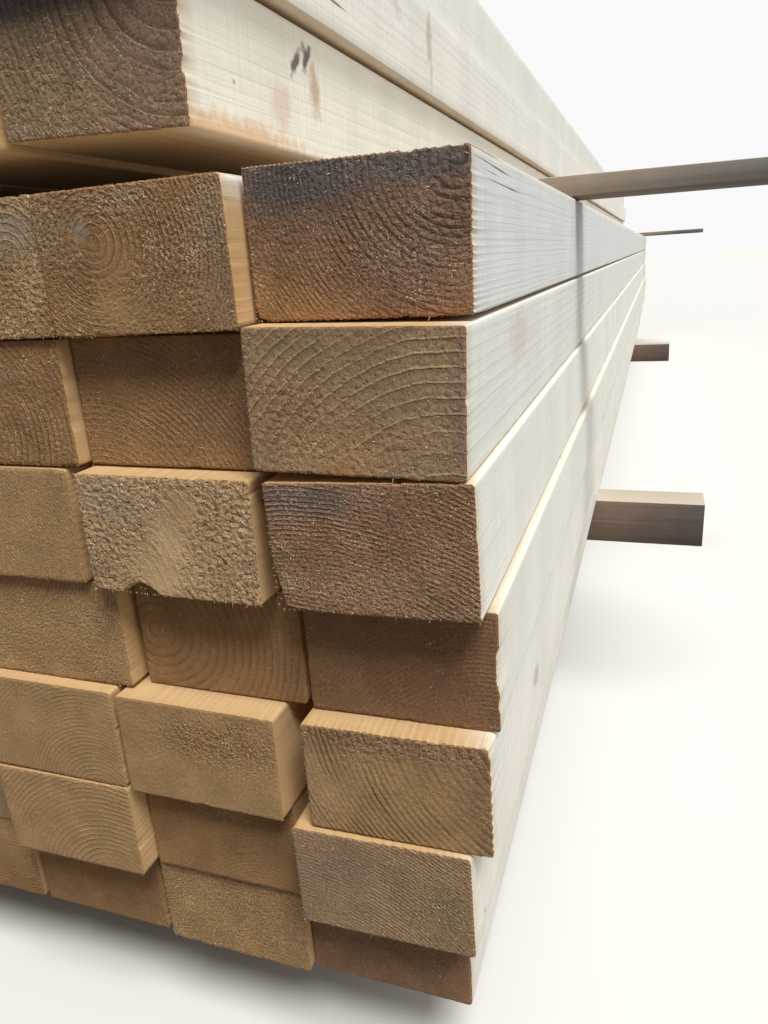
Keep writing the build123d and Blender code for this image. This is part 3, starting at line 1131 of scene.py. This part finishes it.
class STUDS_OT_add_layers(bpy.types.Operator):
    """Add the studs of every layer, with sawn ends and planed faces"""

    bl_idname = "studs.add_layers"
    bl_label = "Add studs"

    def execute(self, context):
        settings = context.scene.stud_settings
        materials = [planed_material(settings), sawn_end_material(settings), fibre_material(settings)]
        dice = random.Random(SEED)
        for number in range(1, len(LAYERS) + 1):
            add_layer(context, number, materials, dice)
        return {"FINISHED"}


class STUDS_OT_add_laths(bpy.types.Operator):
    """Add the two laths between the stacks"""

    bl_idname = "studs.add_laths"
    bl_label = "Add laths"

    def execute(self, context):
        settings = context.scene.bar_settings
        material = sawn_bar_material(
            "greyed_sawn_lath", settings.lath_dark, settings.lath_pale, settings.bleached
        )
        for node_name in ("near_lath", "far_lath"):
            add_bar(node_name, material, "lath_wood", settings.edge_wear)
        return {"FINISHED"}


class STUDS_OT_add_bearers(bpy.types.Operator):
    """Add the two bearers under the lower stack"""

    bl_idname = "studs.add_bearers"
    bl_label = "Add bearers"

    def execute(self, context):
        settings = context.scene.bar_settings
        material = sawn_bar_material(
            "sawn_softwood_bearer", settings.bearer_dark, settings.bearer_pale, settings.bleached
        )
        for node_name in ("near_bearer", "far_bearer"):
            add_bar(node_name, material, "bearer_wood", settings.edge_wear)
        return {"FINISHED"}


# Where the photograph was taken from, seen from the top right stud of the lower stack: to the
# right of that stack's side, in front of the stud's end and above the underside of the stack
CAMERA_RIGHT = 49 * MM
CAMERA_IN_FRONT = 218 * MM
CAMERA_UP = 292 * MM
CAMERA_HEADING = 20.14
CAMERA_PITCH = -18.27
CAMERA_ROLL = -3.65
FOCAL_PIXELS = 756
PICTURE_HEIGHT = 1024
SENSOR_HEIGHT = 36
SIDE_TO_CORNER_STUD = 0.5 * MM

# Half the floor's side, and how bright the surroundings look to the camera, where 1 is white
FLOOR_HALF = 30.0
BACKDROP = 0.95


class STUDS_OT_add_stage(bpy.types.Operator):
    """Add the floor, the light and the camera"""

    bl_idname = "studs.add_stage"
    bl_label = "Add stage"

    def execute(self, context):
        settings = context.scene.stage_settings
        self.add_floor(settings)
        self.add_light(settings)
        self.add_camera()
        return {"FINISHED"}

    def seen(self, add):
        """1 for what the camera sees, also in gloss and glass, and 0 for what lights the object."""
        path = add("LightPath").outputs
        seen = add("MAXIMUM", path["Is Camera Ray"], path["Is Glossy Ray"])
        return add("MAXIMUM", seen, path["Is Transmission Ray"])

    def add_floor(self, settings):
        bm = bmesh.new()
        bmesh.ops.create_grid(bm, x_segments=1, y_segments=1, size=FLOOR_HALF)
        floor = new_object("floor", new_mesh("floor", bm))
        material, add = new_material("pale_floor")
        colours = (settings.floor_bounce, settings.floor_colour)
        paint = add("Mix", self.seen(add), *colours, data_type="RGBA")
        add("OutputMaterial", add("BsdfPrincipled", sockets={"Base Color": paint, "Roughness": 0.9}))
        floor.data.materials.append(material)

    def add_light(self, settings):
        world = bpy.data.worlds.new("studio")
        world.use_nodes = True
        world.node_tree.nodes.clear()
        add = partial(add_node, world.node_tree)
        strength = add("MapRange", self.seen(add), 0.0, 1.0, settings.sky_strength, BACKDROP)
        add("OutputWorld", add("Background", (1, 1, 1), strength))
        bpy.context.scene.world = world
        lamps = {
            "key": (Vector((0.3, -0.335, 0.875)), settings.key_strength, 24),
            "side": (Vector((0.95, -0.05, 0.28)), settings.side_strength, 80),
        }
        for name, (direction, power, spread) in lamps.items():
            lamp = bpy.data.lights.new(name, "SUN")
            lamp.energy = power
            lamp.angle = math.radians(spread)
            new_object(name, lamp).rotation_euler = direction.to_track_quat("Z", "Y").to_euler()

    def add_camera(self):
        lower = LAYERS[TOP_LOWER_LAYER - 1]
        corner = Vector((
            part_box(lower)[1][0] - SIDE_TO_CORNER_STUD,
            read_studs(lower)[0].near,
            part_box(LAYERS[0])[0][2],
        ))
        lens = bpy.data.cameras.new("camera")
        lens.sensor_fit = "VERTICAL"
        lens.sensor_height = SENSOR_HEIGHT
        lens.lens = FOCAL_PIXELS / PICTURE_HEIGHT * SENSOR_HEIGHT
        lens.clip_start = 0.01
        camera = new_object("camera", lens)
        turn = (
            Matrix.Rotation(math.radians(CAMERA_HEADING), 4, "Z")
            @ Matrix.Rotation(math.radians(90 + CAMERA_PITCH), 4, "X")
            @ Matrix.Rotation(math.radians(CAMERA_ROLL), 4, "Z")
        )
        place = corner + Vector((CAMERA_RIGHT, -CAMERA_IN_FRONT, CAMERA_UP))
        camera.matrix_world = Matrix.Translation(place) @ turn
        bpy.context.scene.camera = camera


OPERATORS = (STUDS_OT_add_layers, STUDS_OT_add_laths, STUDS_OT_add_bearers, STUDS_OT_add_stage)


class STUDS_PT_panel(bpy.types.Panel):
    """The bundle's pieces in the 3D view's sidebar"""

    bl_label = "Stud bundle"
    bl_space_type = "VIEW_3D"
    bl_region_type = "UI"
    bl_category = "Studs"

    def draw(self, context):
        for operator in OPERATORS:
            self.layout.operator(operator.bl_idname)


CLASSES = (StudSettings, BarSettings, StageSettings, *OPERATORS, STUDS_PT_panel)


def register():
    for cls in CLASSES:
        bpy.utils.register_class(cls)
    bpy.types.Scene.stud_settings = PointerProperty(type=StudSettings)
    bpy.types.Scene.bar_settings = PointerProperty(type=BarSettings)
    bpy.types.Scene.stage_settings = PointerProperty(type=StageSettings)


def unregister():
    del bpy.types.Scene.stage_settings
    del bpy.types.Scene.bar_settings
    del bpy.types.Scene.stud_settings
    for cls in reversed(CLASSES):
        bpy.utils.unregister_class(cls)


def main():
    """Registers the classes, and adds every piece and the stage."""
    register()
    bpy.context.scene.view_settings.view_transform = "Standard"
    bpy.ops.studs.add_layers()
    bpy.ops.studs.add_laths()
    bpy.ops.studs.add_bearers()
    bpy.ops.studs.add_stage()


if __name__ == "__main__":
    main()
